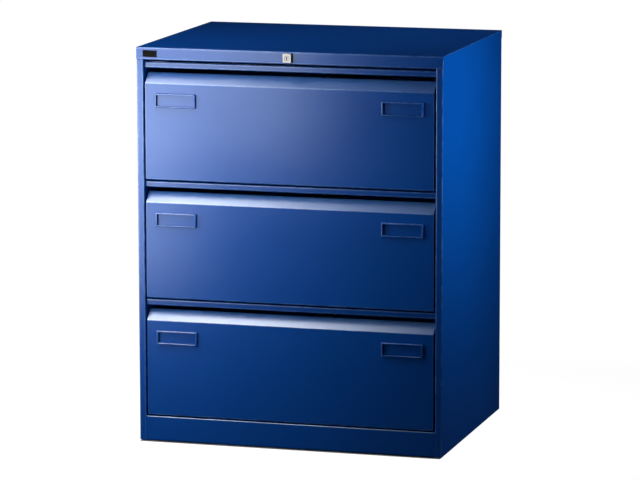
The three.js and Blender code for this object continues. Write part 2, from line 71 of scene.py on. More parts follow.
MM = 0.001
SMOOTH_ANGLE = math.radians(35)  # sharper edges than this stay hard
MERGE_DISTANCE = 1e-6
LOG = logging.getLogger("cabinet")

Array = np.ndarray
Colour = tuple[float, float, float]
Path = Sequence[tuple[float, ...]]
Place = tuple[float, float, float]
Material = bpy.types.Material
Node = bpy.types.Node
NodeTree = bpy.types.NodeTree
Object = bpy.types.Object
Socket = bpy.types.NodeSocket


class Level(Enum):
    """The three drawers, from the floor up."""

    LOWER = "lower"
    MIDDLE = "middle"
    UPPER = "upper"


class Hand(Enum):
    """Side of the cabinet, as its front is faced."""

    LEFT = -1
    RIGHT = 1

    @property
    def word(self) -> str:
        """The side's name as the nodes write it."""
        return self.name.lower()


class Run(Enum):
    """Way that a section is carried: which of its own axes (0, 1) or the run (2) X, Y and Z are."""

    ACROSS = (2, 0, 1)
    BACK = (0, 2, 1)
    UP = (0, 1, 2)


class Slot(Enum):
    """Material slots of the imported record."""

    PAINT = "blue_paint"
    ZINC = "zinc_steel"
    NICKEL = "lock_nickel"
    PLASTIC = "black_plastic"


@dataclass
class Surface:
    """A shape as points and four-cornered faces, with two masks for its finish.

    wear is 1 on edges that rub, which are paled as wear and partly as a painted highlight, and 0 on flats;
    lip is 1 where the paint gets a gloss and a painted highlight, on the drawers' finger lips and the
    plinth's top fold.
    """

    points: Array
    quads: Array
    wear: Array
    lip: Array

    def __add__(self, other: "Surface") -> "Surface":
        """Both shapes as one."""
        return Surface(
            np.concatenate([self.points, other.points]),
            np.concatenate([self.quads, other.quads + len(self.points)]),
            np.concatenate([self.wear, other.wear]),
            np.concatenate([self.lip, other.lip]),
        )

    def moved(self, x: float = 0.0, y: float = 0.0, z: float = 0.0) -> "Surface":
        """The shape at another place."""
        return Surface(self.points + np.array([x, y, z]), self.quads, self.wear, self.lip)

    def mirrored(self, hand: Hand) -> "Surface":
        """The shape on the given side of the middle plane, from one made for the right."""
        return Surface(self.points * np.array([hand.value, 1, 1]), self.quads, self.wear, self.lip)


def grid_quads(rows: int, columns: int, closed_rows: bool, closed_columns: bool) -> Array:
    """Faces between neighbouring rows and columns of a grid of points.

    Args:
        rows: number of rows.
        columns: number of points in a row.
        closed_rows: whether the last row joins the first.
        closed_columns: whether each row's last point joins its first.

    Returns:
        One row of four point numbers for each face.
    """
    row = np.arange(rows if closed_rows else rows - 1)
    column = np.arange(columns if closed_columns else columns - 1)
    r, c = np.meshgrid(row, column, indexing="ij")
    below, beside = (r + 1) % rows, (c + 1) % columns
    corners = [r * columns + c, r * columns + beside, below * columns + beside, below * columns + c]
    return np.stack(corners, -1).reshape(-1, 4)


def rounded_ring(width: float, height: float, corner: float, steps: int) -> Array:
    """Points round a rectangle with round corners.

    Each quarter is an arc of the corner's radius about that corner's centre; the straight stretches lie
    between one arc's last point and the next one's first.

    Args:
        width: size along the first axis.
        height: size along the second axis.
        corner: radius of the corners.
        steps: points in each corner.

    Returns:
        Four times steps points, anticlockwise.
    """
    quarter = np.repeat(np.arange(4), steps)
    turn = (quarter + np.tile(np.linspace(0, 1, steps), 4)) * math.pi / 2
    across = np.where((quarter == 0) | (quarter == 3), 1, -1) * (width / 2 - corner)
    up = np.where(quarter < 2, 1, -1) * (height / 2 - corner)
    return np.stack([across + corner * np.cos(turn), up + corner * np.sin(turn)], 1)


def ringed(rings: Array, depths: Array, wear: Array, closed: bool) -> Surface:
    """Surface through a stack of rings that face the front.

    Point (i, j) is ring i's point j in X and Z, at depth i in Y.

    Args:
        rings: array of rings, points and X, Z.
        depths: each ring's place along Y.
        wear: each ring's share of wear.
        closed: whether the last ring joins the first.

    Returns:
        The surface, about the rings' own centre.
    """
    count, points = rings.shape[:2]
    y = np.broadcast_to(depths[:, None], (count, points))
    grid = np.stack([rings[..., 0], y, rings[..., 1]], -1).reshape(-1, 3)
    worn = np.repeat(wear.astype(float), points)
    return Surface(grid, grid_quads(count, points, closed, True), worn, np.zeros_like(worn))


@dataclass(frozen=True)
class Sheet:
    """Steel sheet as a press brake folds it."""

    gauge: float = 1.2 * MM
    bend: float = 1.3 * MM  # inside radius
    steps: int = 6  # facets in one fold
    rim: float = 1.5 * MM  # width of the strip beside an edge
    rim_share: float = 1 / 3  # most of a stretch that a rim takes
    hollow_wear: float = 0.1  # wear on the inner side of a fold
    lip_reach: float = 0.75  # in stretches, which takes in the folds at both ends of the lip

    def section(self, path: Path) -> tuple[Array, Array, Array]:
        """Outline of a folded strip: each straight stretch with a rim at both ends, each corner an arc.

        The path runs along the outer face, with the sheet's thickness on its left. A corner's arc has the
        bend's radius on the inside and a gauge more on the outside. The back is the face moved by a gauge
        along its normal.

        Args:
            path: the face's corners; a third number is that corner's own inside radius.

        Returns:
            The closed outline (face forwards, then back backwards), its wear, and for each point the
            number of the path's stretch that it is on, negative on the back.
        """
        corners = np.array([corner[:2] for corner in path], float)
        inside = np.array([corner[2] if len(corner) > 2 else self.bend for corner in path[1:-1]])
        ahead = np.diff(corners, axis=0)
        ahead /= np.linalg.norm(ahead, axis=1)[:, None]
        left = np.stack([-ahead[:, 1], ahead[:, 0]], 1)
        cross = ahead[:-1, 0] * ahead[1:, 1] - ahead[:-1, 1] * ahead[1:, 0]
        turn = np.arctan2(cross, (ahead[:-1] * ahead[1:]).sum(1))
        side = np.sign(turn)
        radius = np.where(turn > 0, inside + self.gauge, inside)
        trim = radius * np.tan(np.abs(turn) / 2)
        start = corners[:-1] + ahead * np.concatenate([[0], trim])[:, None]
        stop = corners[1:] - ahead * np.concatenate([trim, [0]])[:, None]
        rim = np.minimum(self.rim, np.linalg.norm(stop - start, axis=1) * self.rim_share)[:, None]
        straight = np.stack([start, start + ahead * rim, stop - ahead * rim, stop], 1)

        share = np.linspace(0, 1, self.steps + 1)[1:-1]
        bends = len(share)
        angle = turn[:, None] * share
        cos, sin = np.cos(angle), np.sin(angle)
        across, up = left[:-1, :1], left[:-1, 1:]
        normal = np.stack([cos * across - sin * up, sin * across + cos * up], -1)
        arc = stop[:-1, None] + (side * radius)[:, None, None] * (left[:-1, None] - normal)

        def joined(flats: Array, arcs: Array) -> Array:
            """Values on the straight stretches and on the arcs between them, in the path's order."""
            padded = np.concatenate([arcs, np.zeros((1, bends, *flats.shape[2:]))])
            return np.concatenate([flats, padded], 1).reshape(-1, *flats.shape[2:])[:-bends]

        # Wear on the face and the back at each corner, full on a fold's outer side and at a cut end
        worn = np.ones((len(corners), 2))
        worn[1:-1] = np.where(side[:, None] > 0, (1.0, self.hollow_wear), (self.hollow_wear, 1.0))
        flat = np.zeros_like(ahead)
        wear = joined(
            np.stack([worn[:-1], flat, flat, worn[1:]], 1), np.repeat(worn[1:-1, None], bends, 1)
        )
        number = np.arange(1.0, len(corners))[:, None]
        label = joined(np.repeat(number, 4, 1), np.repeat(number[:-1] + 0.5, bends, 1))
        front = joined(straight, arc)
        back = front + self.gauge * joined(np.repeat(left[:, None], 4, 1), normal)
        outline = np.concatenate([front, back[::-1]])
        return outline, np.append(wear[:, 0], wear[::-1, 1]), np.append(label, -label[::-1])

    def carried(
        self, paths: Sequence[Path], stations: Sequence[float], run: Run, lip_stretch: float = 0.0
    ) -> Surface:
        """A folded section carried along a straight run, closed at both ends.

        Point (i, j) is outline point j of station i's path, at that station along the run.

        Args:
            paths: one path for each station, all with as many corners.
            stations: places along the run, in order.
            run: the way that the section is carried.
            lip_stretch: number of the stretch that gets the lip's gloss and painted highlight, or 0.

        Returns:
            The closed surface.
        """
        outlines, worn, labels = zip(*(self.section(path) for path in paths))
        rows, columns = len(stations), len(worn[0])
        grid = np.empty((rows, columns, 3))
        grid[..., :2] = np.stack(outlines)
        grid[..., 2] = np.asarray(stations, float)[:, None]
        points = grid.reshape(-1, 3)[:, run.value]
        wear = np.stack(worn)
        wear[[0, -1]] = 1.0
        # Points on the lip, which get its gloss and its painted highlight
        rubbed = (np.abs(np.stack(labels) - lip_stretch) < self.lip_reach) & (lip_stretch > 0)

        half = columns // 2
        near = np.arange(half - 1)
        cap = np.stack([near, near + 1, columns - 2 - near, columns - 1 - near], 1)
        quads = [grid_quads(rows, columns, False, True), cap, cap + (rows - 1) * columns]
        return Surface(points, np.concatenate(quads), wear.ravel(), rubbed.astype(float).ravel())

    def strip(self, path: Path, start: float, stop: float, run: Run, lip_stretch: float = 0.0) -> Surface:
        """One section carried from one place to another, with a rim at both ends."""
        stations = [start, start + self.rim, stop - self.rim, stop]
        return self.carried([path] * len(stations), stations, run, lip_stretch)


class Tree:
    """Short way to place and join the nodes of one shader tree."""

    MIX_INPUTS = (0, 6, 7)  # numbers of the colour mix's factor and two colours
    MIX_OUTPUT = 2

    def __init__(self, tree: NodeTree) -> None:
        """Takes a tree and empties it."""
        self.tree = tree
        tree.nodes.clear()

    def feed(self, socket: Socket, value: object) -> None:
        """Joins a socket to another one, or gives it a plain value.

        Args:
            socket: the input that is fed.
            value: another node's output, or a constant.
        """
        if isinstance(value, Socket):
            self.tree.links.new(value, socket)
        else:
            socket.default_value = value

    def place(self, kind: str, values: dict[str | int, object] | None = None, **settings: object) -> Node:
        """Adds a node.

        Args:
            kind: Blender's name of the node type.
            values: what each input gets, by its name or number.
            settings: the node's own properties.

        Returns:
            The node.
        """
        node = self.tree.nodes.new(kind)
        for name, setting in settings.items():
            setattr(node, name, setting)
        for socket, value in (values or {}).items():
            self.feed(node.inputs[socket], value)
        return node

    def maths(self, operation: str, a: object, b: object = 0.0) -> Socket:
        """One step of arithmetic on two values."""
        return self.place("ShaderNodeMath", {0: a, 1: b}, operation=operation).outputs[0]

    def times(self, a: object, b: object) -> Socket:
        """Product of two values."""
        return self.maths("MULTIPLY", a, b)

    def plus(self, a: object, b: object) -> Socket:
        """Sum of two values."""
        return self.maths("ADD", a, b)

    def blend(self, a: object, b: object, share: float) -> Socket:
        """Sum of two values, with that share of b."""
        return self.plus(self.times(a, 1 - share), self.times(b, share))

    def spread(
        self, value: object, low: object, high: object, to_low: object = 0.0, to_high: object = 1.0
    ) -> Socket:
        """Maps low..high to another range with a smooth step, held at both ends."""
        values = {"Value": value, "From Min": low, "From Max": high, "To Min": to_low, "To Max": to_high}
        return self.place("ShaderNodeMapRange", values, interpolation_type="SMOOTHSTEP").outputs[0]

    def mix(self, factor: object, a: object, b: object) -> Socket:
        """Colour between a and b."""
        values = dict(zip(self.MIX_INPUTS, (factor, a, b)))
        return self.place("ShaderNodeMix", values, data_type="RGBA").outputs[self.MIX_OUTPUT]

    def noise(self, vector: object, scale: object, detail: float = 2.0, rough: float = 0.5) -> Socket:
        """Smooth noise from 0 to 1, with that many cells in a metre."""
        values = {"Vector": vector, "Scale": scale, "Detail": detail, "Roughness": rough}
        return self.place("ShaderNodeTexNoise", values).outputs["Fac"]

    def stretched(self, vector: object, scale: object) -> Socket:
        """Coordinates stretched along the axes."""
        return self.place("ShaderNodeMapping", {"Vector": vector, "Scale": scale}).outputs[0]


class Coat(Tree):
    """Shader tree of one finish, with its surface shader and the object's own coordinates."""

    def __init__(self, tree: NodeTree) -> None:
        """Takes a tree and places the shader.

        Args:
            tree: the material's tree.
        """
        super().__init__(tree)
        self.shader = self.place("ShaderNodeBsdfPrincipled")
        self.place("ShaderNodeOutputMaterial", {"Surface": self.shader.outputs[0]}, target="ALL")
        self.coordinates = self.place("ShaderNodeTexCoord").outputs["Object"]

    def give(self, socket: str, value: object) -> None:
        """Feeds one of the shader's inputs."""
        self.feed(self.shader.inputs[socket], value)

    def mask(self, name: str) -> Socket:
        """One of the masks that a piece carries."""
        return self.place("ShaderNodeAttribute", attribute_name=name).outputs["Fac"]

    def effect(self, group: NodeTree, **values: object) -> bpy.types.NodeOutputs:
        """Places a shared effect with a finish's values."""
        values["Vector"] = self.coordinates
        return self.place("ShaderNodeGroup", values, node_tree=group).outputs

    def bump(self, height: object, depth: float) -> None:
        """Lets a height of that depth in metres tilt the surface."""
        bump = self.place("ShaderNodeBump", {"Height": height, "Distance": depth, "Strength": 1.0})
        self.give("Normal", bump.outputs[0])


class Effects:
    """Shader node groups that several finishes share, each built once."""

    VECTORS = ("Vector", "Stretch")  # inputs that are vectors
    DIMPLE_SHARE = 0.35  # a dimple's height as a share of a wave's
    MOTTLE_TO_WAVES = 2.3  # patches of mottle for each wave
    NICKS_TO_PATCHES = 14.0  # nicks for each patch of wear
    NICK_SHARE = 0.3
    WEAR_RANGE = (0.35, 0.7)  # noise at which wear starts and at which it is full
    WIPE_STRETCH = (1.0, 1.0, 3.2)
    SMUDGE_RANGE = (0.25, 0.75)
    SPANGLES = 160.0  # crystals in a metre
    SPANGLE_RANGE = (0.1, 0.75)

    @staticmethod
    def _group(
        name: str, inputs: Sequence[str], outputs: Sequence[str]
    ) -> tuple[Tree, bpy.types.NodeOutputs, bpy.types.NodeInputs]:
        """A new group with named sockets.

        Args:
            name: the group's name.
            inputs: names of the values and vectors that come in.
            outputs: names of the values that it puts out.

        Returns:
            The group's tree, the sockets that come in and the ones that go out.
        """
        group = bpy.data.node_groups.new(name, "ShaderNodeTree")
        for socket in inputs:
            kind = "NodeSocketVector" if socket in Effects.VECTORS else "NodeSocketFloat"
            group.interface.new_socket(socket, in_out="INPUT", socket_type=kind)
        for socket in outputs:
            group.interface.new_socket(socket, in_out="OUTPUT", socket_type="NodeSocketFloat")
        tree = Tree(group)
        return tree, tree.place("NodeGroupInput").outputs, tree.place("NodeGroupOutput").inputs

    @staticmethod
    @cache
    def peel() -> NodeTree:
        """Orange peel of sprayed paint: fine dimples over slow waves in the sheet, and a slow mottle.

        Returns:
            The group, which puts out a height and a mottle.
        """
        names = ["Vector", "Dimples", "Waves"]
        tree, come, go = Effects._group("orange_peel", names, ["Height", "Mottle"])
        dimples = tree.noise(come["Vector"], come["Dimples"], detail=1.5, rough=0.45)
        waves = tree.noise(come["Vector"], come["Waves"], detail=1.0)
        tree.feed(go["Height"], tree.plus(tree.times(dimples, Effects.DIMPLE_SHARE), waves))
        mottle = tree.times(come["Waves"], Effects.MOTTLE_TO_WAVES)
        tree.feed(go["Mottle"], tree.noise(come["Vector"], mottle, detail=3.0))
        return tree.tree

    @staticmethod
    @cache
    def edge_wear() -> NodeTree:
        """Wear on a masked edge, broken up by two sizes of noise.

        Returns:
            The group, which puts out the wear.
        """
        tree, come, go = Effects._group("edge_wear", ["Vector", "Mask", "Patches"], ["Wear"])
        patches = tree.noise(come["Vector"], come["Patches"], detail=3.0, rough=0.6)
        finer = tree.times(come["Patches"], Effects.NICKS_TO_PATCHES)
        broken = tree.blend(patches, tree.noise(come["Vector"], finer), Effects.NICK_SHARE)
        tree.feed(go["Wear"], tree.times(come["Mask"], tree.spread(broken, *Effects.WEAR_RANGE)))
        return tree.tree

    @staticmethod
    @cache
    def handling() -> NodeTree:
        """Faint smudges and wipe marks that change how rough a surface is.

        Returns:
            The group, which puts out the smudge.
        """
        tree, come, go = Effects._group("handling", ["Vector", "Smudges"], ["Smudge"])
        wiped = tree.stretched(come["Vector"], Effects.WIPE_STRETCH)
        cloudy = tree.noise(wiped, come["Smudges"], detail=1.5, rough=0.4)
        tree.feed(go["Smudge"], tree.spread(cloudy, *Effects.SMUDGE_RANGE))
        return tree.tree

    @staticmethod
    @cache
    def drawn_lines() -> NodeTree:
        """Fine lines that rolling or turning leaves in metal, along the axis that is stretched least.

        Returns:
            The group, which puts out the lines and a crystal spangle.
        """
        tree, come, go = Effects._group("drawn_lines", ["Vector", "Stretch"], ["Line", "Spangle"])
        along = tree.stretched(come["Vector"], come["Stretch"])
        tree.feed(go["Line"], tree.noise(along, 1.0, detail=3.0, rough=0.65))
        crystals = {"Vector": come["Vector"], "Scale": Effects.SPANGLES}
        spangle = tree.place("ShaderNodeTexVoronoi", crystals).outputs["Distance"]
        tree.feed(go["Spangle"], tree.spread(spangle, *Effects.SPANGLE_RANGE))
        return tree.tree


@dataclass(frozen=True)
class Finish:
    """What every finish has: a colour, its highlights, a roughness and how smudged it is."""

    name: str
    colour: Colour
    rough: float
    specular: float
    sheen: Colour = (1.0, 1.0, 1.0)  # tint of its highlights
    smudges: float = 5.0  # in a metre

    def material(self) -> Material:
        """The finish as a material, made once."""
        known = bpy.data.materials.get(self.name)
        return known or self._make()

    def _make(self) -> Material:
        """Makes the material with the finish's nodes.

        Returns:
            The new material.
        """
        made = bpy.data.materials.new(self.name)
        made.use_nodes = True
        coat = Coat(made.node_tree)
        coat.give("Specular IOR Level", self.specular)
        coat.give("Specular Tint", (*self.sheen, 1.0))
        self._dress(coat, coat.effect(Effects.handling(), Smudges=self.smudges)["Smudge"])
        return made

    def _dress(self, coat: Coat, smudge: Socket) -> None:
        """Adds the finish's own nodes; each kind of finish has its own way."""
        raise NotImplementedError

    def _shades(self, share: float) -> tuple[tuple[float, ...], tuple[float, ...]]:
        """The colour a little darker and a little lighter, as RGBA."""
        return tuple(
            tuple(min(1.0, c * (1 + sign * share)) for c in self.colour) + (1.0,) for sign in (-1, 1)
        )


@dataclass(frozen=True)
class SatinPaint(Finish):
    """Sprayed satin paint on folded sheet: orange peel, faint smudges, folds paled by wear and partly by a
    painted highlight, a glossy lip with a painted highlight.
    """

    dimples: float = 420.0  # in a metre, as are the waves and patches
    waves: float = 3.0
    dimple_depth: float = 0.14 * MM
    patches: float = 45.0
    mottle_share: float = 0.07  # how far the mottle shifts the colour
    # Pale fold colour: wear, and partly a painted highlight along the folds
    worn: Colour = (0.07, 0.22, 0.58)
    worn_share: float = 0.50
    # Painted highlight on the lip: this pale colour, at this share, where the lip mask is
    rubbed: Colour = (0.12, 0.27, 0.48)
    rubbed_share: float = 0.28
    lip_least: float = 0.8  # share of the lip's gloss and painted highlight that is left between smudges
    polish: float = 0.65  # gloss that hands give the lip
    edge_polish: float = 0.28  # the same, on worn folds
    polish_rough: float = 0.30
    polish_index: float = 2.2
    smudge_rough: float = 0.02

    def _dress(self, coat: Coat, smudge: Socket) -> None:
        """Peel tilts the surface, mottle shifts the blue, the wear mask pales the folds as wear and partly
        as a painted highlight, and the lip mask gives the lip gloss and a painted highlight.

        Args:
            coat: the finish's shader tree.
            smudge: its marks of handling.
        """
        peel = coat.effect(Effects.peel(), Dimples=self.dimples, Waves=self.waves)
        edge = coat.mask("wear")
        worn = coat.effect(Effects.edge_wear(), Mask=edge, Patches=self.patches)["Wear"]
        tone = coat.mix(peel["Mottle"], *self._shades(self.mottle_share))
        # Folds paled by wear and partly by a painted highlight
        edges_worn_and_highlit = coat.mix(coat.times(worn, self.worn_share), tone, (*self.worn, 1.0))
        # Painted highlight: the lip mask, broken by smudges, pales the lip's colour; the same mask gives
        # it the coat's gloss
        lip_gloss_and_highlight = coat.times(coat.mask("lip"), coat.spread(smudge, 0.0, 1.0, self.lip_least, 1.0))
        painted_highlight = coat.times(lip_gloss_and_highlight, self.rubbed_share)
        coat.give("Base Color", coat.mix(painted_highlight, edges_worn_and_highlit, (*self.rubbed, 1.0)))
        buffed = coat.times(lip_gloss_and_highlight, self.polish)
        coat.give("Coat Weight", coat.maths("MAXIMUM", buffed, coat.times(edge, self.edge_polish)))
        coat.give("Coat Roughness", self.polish_rough)
        coat.give("Coat IOR", self.polish_index)
        coat.give("Roughness", coat.plus(coat.times(smudge, self.smudge_rough), self.rough))
        coat.bump(peel["Height"], self.dimple_depth)


@dataclass(frozen=True)
class PlatedSteel(Finish):
    """Bare or plated steel with rolling lines along one axis and a faint crystal spangle."""

    stretch: tuple[float, float, float] = (900.0, 12.0, 900.0)  # lines in a metre along each axis
    line_share: float = 0.16  # how far the lines shift the colour
    line_rough: float = 0.14
    line_depth: float = 0.02 * MM
    spangle_share: float = 0.3
    smudge_rough: float = 0.10
    patches: float = 60.0
    worn_share: float = 0.5

    def _dress(self, coat: Coat, smudge: Socket) -> None:
        """Lines and spangle shift the grey and the roughness, and worn edges turn brighter.

        Args:
            coat: the finish's shader tree.
            smudge: its marks of handling.
        """
        coat.give("Metallic", 1.0)
        drawn = coat.effect(Effects.drawn_lines(), Stretch=self.stretch)
        worn = coat.effect(Effects.edge_wear(), Mask=coat.mask("wear"), Patches=self.patches)["Wear"]
        dark, pale = self._shades(self.line_share)
        tone = coat.mix(coat.blend(drawn["Line"], drawn["Spangle"], self.spangle_share), dark, pale)
        coat.give("Base Color", coat.mix(coat.times(worn, self.worn_share), tone, pale))
        lines = coat.times(drawn["Line"], self.line_rough)
        cloudy = coat.plus(coat.times(smudge, self.smudge_rough), lines)
        coat.give("Roughness", coat.plus(cloudy, self.rough))
        coat.bump(drawn["Line"], self.line_depth)


@dataclass(frozen=True)
class MouldedPlastic(Finish):
    """Moulded plastic with a fine stipple."""

    smudges: float = 60.0
    stipple: float = 2600.0  # in a metre, as are the waves
    waves: float = 40.0
    stipple_depth: float = 0.05 * MM
    mottle_share: float = 0.25
    rough_shift: tuple[float, float] = (-0.06, 0.08)  # how far smudges change the roughness

    def _dress(self, coat: Coat, smudge: Socket) -> None:
        """Stipple tilts the surface, and smudges change the roughness and the shade.

        Args:
            coat: the finish's shader tree.
            smudge: its marks of handling.
        """
        stipple = coat.effect(Effects.peel(), Dimples=self.stipple, Waves=self.waves)
        coat.give("Base Color", coat.mix(smudge, *self._shades(self.mottle_share)))
        low, high = (self.rough + shift for shift in self.rough_shift)
        coat.give("Roughness", coat.spread(smudge, 0.0, 1.0, low, high))
        coat.bump(stipple["Height"], self.stipple_depth)


PAINT = SatinPaint(
    "blue_satin_paint",
    colour=(0.0003, 0.053, 0.280),
    rough=0.245,
    specular=0.40,
    sheen=(0.80, 0.90, 1.0),
)
ZINC = PlatedSteel("zinc_plated_steel", colour=(0.52, 0.53, 0.54), rough=0.28, specular=0.5)
NICKEL = PlatedSteel(
    "nickel_plating",
    colour=(0.30, 0.295, 0.28),
    rough=0.32,
    specular=0.5,
    stretch=(400.0, 400.0, 2400.0),
    line_share=0.03,
    line_rough=0.03,
    line_depth=0.004 * MM,
)
PLASTIC = MouldedPlastic("moulded_black", colour=(0.003, 0.003, 0.0035), rough=0.50, specular=0.04)


def placed(name: str, data: bpy.types.ID) -> Object:
    """Puts a mesh, a lamp or a camera in the scene.

    Args:
        name: the object's name.
        data: what it holds.

    Returns:
        The new object, at the origin.
    """
    made = bpy.data.objects.new(name, data)
    bpy.context.scene.collection.objects.link(made)
    return made


def shown(name: str, shape: Surface, finish: Finish, body: str, *nodes: str) -> None:
    """Makes a shape a piece that rides on a body and stands for CAD nodes.

    Doubles are merged, faces turned outwards and round stretches made smooth.

    Args:
        name: the piece's name.
        shape: its surface.
        finish: its finish.
        body: the body that it moves with.
        nodes: the CAD nodes that it replaces, if any.
    """
    mesh = bpy.data.meshes.new(name)
    mesh.from_pydata(shape.points, [], shape.quads)
    for mask in ("wear", "lip"):
        layer = mesh.attributes.new(mask, "FLOAT", "POINT")
        layer.data.foreach_set("value", getattr(shape, mask).astype(np.float32))
    work = bmesh.new()
    work.from_mesh(mesh)
    bmesh.ops.remove_doubles(work, verts=work.verts, dist=MERGE_DISTANCE)
    bmesh.ops.recalc_face_normals(work, faces=work.faces)
    work.to_mesh(mesh)
    work.free()
    mesh.polygons.foreach_set("use_smooth", np.ones(len(mesh.polygons), bool))
    mesh.set_sharp_from_angle(angle=SMOOTH_ANGLE)
    mesh.materials.append(finish.material())
    made = placed(name, mesh)
    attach(made, body)
    if nodes:
        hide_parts(*nodes)
    LOG.info("%s: %d faces", name, len(mesh.polygons))


def dressed(finish: Finish, *nodes: str) -> None:
    """Gives CAD nodes a finish.

    Args:
        finish: the finish.
        nodes: the nodes' names.
    """
    for name in nodes:
        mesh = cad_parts[name].data
        mesh.materials.clear()
        mesh.materials.append(finish.material())
        LOG.info("%s: %s", name, finish.name)


@dataclass
class Carcass:
    """The fixed sheets that show: side panels, top panel, plinth and cross rails."""

    sheet: Sheet = field(default_factory=Sheet)
    side_return: float = 50 * MM
    rear_skirt: float = 22 * MM
    skirt_hem: float = 15 * MM
    plinth_hem: float = 15 * MM
    weld: float = 2.8 * MM  # width of the weld between the plinth and an upright
    gap: float = 0.3 * MM  # between pieces that meet
    body: str = "carcass"

    def build(self) -> None:
        """Makes the sheets that show."""
        for hand in Hand:
            self._side_panel(hand)
        self._top_panel()
        self._plinth()
        for level in Level:
            self._cross_rail(level)

    def dress(self) -> None:
        """Gives the nodes that keep their solids their finishes."""
        dressed(PAINT, "back_panel", "base_panel")
        feet = [f"foot_{row}_{hand.word}" for row in ("front", "rear") for hand in Hand]
        dressed(ZINC, *feet, "lock_bar_guide", "transfer_bar_hanger")
        dressed(ZINC, *(f"outer_slide_{level.value}_{hand.word}" for level in Level for hand in Hand))

    def _side_panel(self, hand: Hand) -> None:
        """Return, front upright, wall, rear flange and return: one path, carried upwards.

        Args:
            hand: the panel's side.
        """
        low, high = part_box("right_side_panel")
        path = [
            (low.x, low.y + self.side_return),
            (low.x, low.y),
            (high.x, low.y),
            (high.x, high.y),
            (low.x, high.y),
            (low.x, high.y - self.side_return),
        ]
        shape = self.sheet.strip(path, low.z, high.z, Run.UP).mirrored(hand)
        name = f"{hand.word}_side_panel"
        shown(f"{name}_sheet", shape, PAINT, self.body, name)

    def _top_panel(self) -> None:
        """Rear skirt, top, front skirt and hem, carried across; the hem is short over the uprights."""
        low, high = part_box("top_panel")
        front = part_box("plinth")[0].y
        hem_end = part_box("plinth")[1].x

        def path(hem: float) -> Path:
            """Section with the hem ending at that depth."""
            rear = [(high.y, high.z - self.rear_skirt), (high.y, high.z)]
            return [*rear, (low.y, high.z), (low.y, low.z), (hem, low.z)]

        short, full = path(front - self.gap), path(front + self.skirt_hem)
        rim = self.sheet.rim
        stations = [low.x, low.x + rim, -hem_end, -hem_end, hem_end, hem_end, high.x - rim, high.x]
        paths = [short, short, short, full, full, short, short, short]
        shape = self.sheet.carried(paths, stations, Run.ACROSS)
        inset = self.sheet.gauge / 2
        for hand in Hand:
            edge = high.x - self.gap
            cheek = [(edge, low.y + inset), (edge, front - self.gap)]
            shape += self.sheet.strip(cheek, low.z + inset, high.z - inset, Run.UP).mirrored(hand)
        shown("top_panel_sheet", shape, PAINT, self.body, "top_panel")

    def _plinth(self) -> None:
        """Shelf, a top fold with gloss and a painted highlight, face and hem, carried across, with a weld
        flush over each upright's fold.
        """
        low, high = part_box("plinth")
        path = [(high.y, high.z), (low.y, high.z), (low.y, low.z), (low.y + self.plinth_hem, low.z)]
        shape = self.sheet.strip(path, low.x - self.gap, high.x + self.gap, Run.ACROSS)
        filled = self.sheet.strip(path[1:3], high.x, high.x + self.weld, Run.ACROSS)
        for hand in Hand:
            shape += filled.mirrored(hand)
        x, y, z = shape.points.T
        shape.wear[np.abs(x) > high.x - self.sheet.rim] = 0.0
        fold = self.sheet.bend + self.sheet.gauge
        # The plinth's top fold gets the lip's gloss and painted highlight
        shape.lip[(y < low.y + fold) & (z > high.z - fold) & (np.abs(x) < high.x)] = 1.0
        shown("plinth_sheet", shape, PAINT, self.body, "plinth")

    def _cross_rail(self, level: Level) -> None:
        """A channel that opens to the rear, carried across.

        Args:
            level: the drawer that the rail is above.
        """
        name = f"cross_rail_{level.value}"
        low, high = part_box(name)
        path = [(high.y, high.z), (low.y, high.z), (low.y, low.z), (high.y, low.z)]
        shown(f"{name}_sheet", self.sheet.strip(path, low.x, high.x, Run.ACROSS), PAINT, self.body, name)


@dataclass
class LabelHolder:
    """Frame for an index card: a bevelled rim round a window, with a slot for the card behind it."""

    corner: float = 2 * MM
    edge: float = 2.2 * MM  # round of the rim's outer edge
    window: tuple[float, float] = (99 * MM, 28 * MM)
    slot: tuple[float, float] = (103 * MM, 31 * MM)
    slot_depth: float = 1.2 * MM
    inner_edge: float = 1.0 * MM
    inner_wear: float = 0.3
    steps: int = 6

    def shape(self, low: Vector, high: Vector) -> Surface:
        """The frame's section carried round a rectangle with round corners.

        Ring by ring it goes up the outer wall, over a quarter round, across the rim, down into the window
        and out into the card's slot, and the last ring joins the first at the back.

        Args:
            low: lowest corner of the holder's box.
            high: highest corner of the holder's box.

        Returns:
            The closed frame, in place.
        """
        width, height, proud = high.x - low.x, high.z - low.z, high.y - low.y
        turn = np.linspace(0, math.pi / 2, self.steps)
        cut = 2 * self.edge * (1 - np.cos(turn))
        rise = proud - self.edge + self.edge * np.sin(turn)
        wide, tall = self.window
        rim = 2 * self.inner_edge
        widths = np.concatenate([[width], width - cut, [wide + rim, wide, wide], [self.slot[0]] * 2])
        heights = np.concatenate([[height], height - cut, [tall + rim, tall, tall], [self.slot[1]] * 2])
        lifts = np.concatenate(
            [[0], rise, [proud, proud - self.inner_edge, self.slot_depth], [self.slot_depth, 0]]
        )
        wear = np.concatenate([[0], np.ones(self.steps), [self.inner_wear] * 2, np.zeros(3)])
        rings = np.stack([rounded_ring(w, h, self.corner, self.steps) for w, h in zip(widths, heights)])
        middle = (low + high) / 2
        return ringed(rings, high.y - lifts, wear, True).moved(x=middle.x, z=middle.z)


